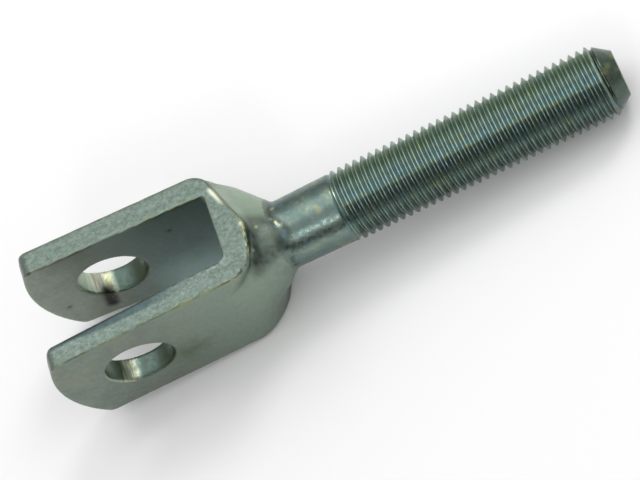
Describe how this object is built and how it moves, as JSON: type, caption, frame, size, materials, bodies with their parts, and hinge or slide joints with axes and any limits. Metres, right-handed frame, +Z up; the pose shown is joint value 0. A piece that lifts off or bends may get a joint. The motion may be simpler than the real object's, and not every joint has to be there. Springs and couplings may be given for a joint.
{
  "type": "clevis rod end",
  "caption": "Forged zinc-plated clevis with two flat ears, a pin bore through both and a long male-threaded shank, which ends a control rod and pins it to a lever.",
  "frame": {"origin": "the pin axis, half way between the two ears", "axes": "+Y along the pin bore; +X towards the threaded end, which dips below X because the part lies at rest on the back of its fork and on its thread; +Z up, across the width of the ears"},
  "size_m": [0.0804, 0.0168, 0.0213],
  "materials": {
    "zinc_plated_steel": "clear zinc plate over forged steel, satin, faintly blue and yellow on the turned surfaces"
  },
  "bodies": {
    "root": {"clevis_rod_end": "zinc_plated_steel"}
  },
  "joints": []
}
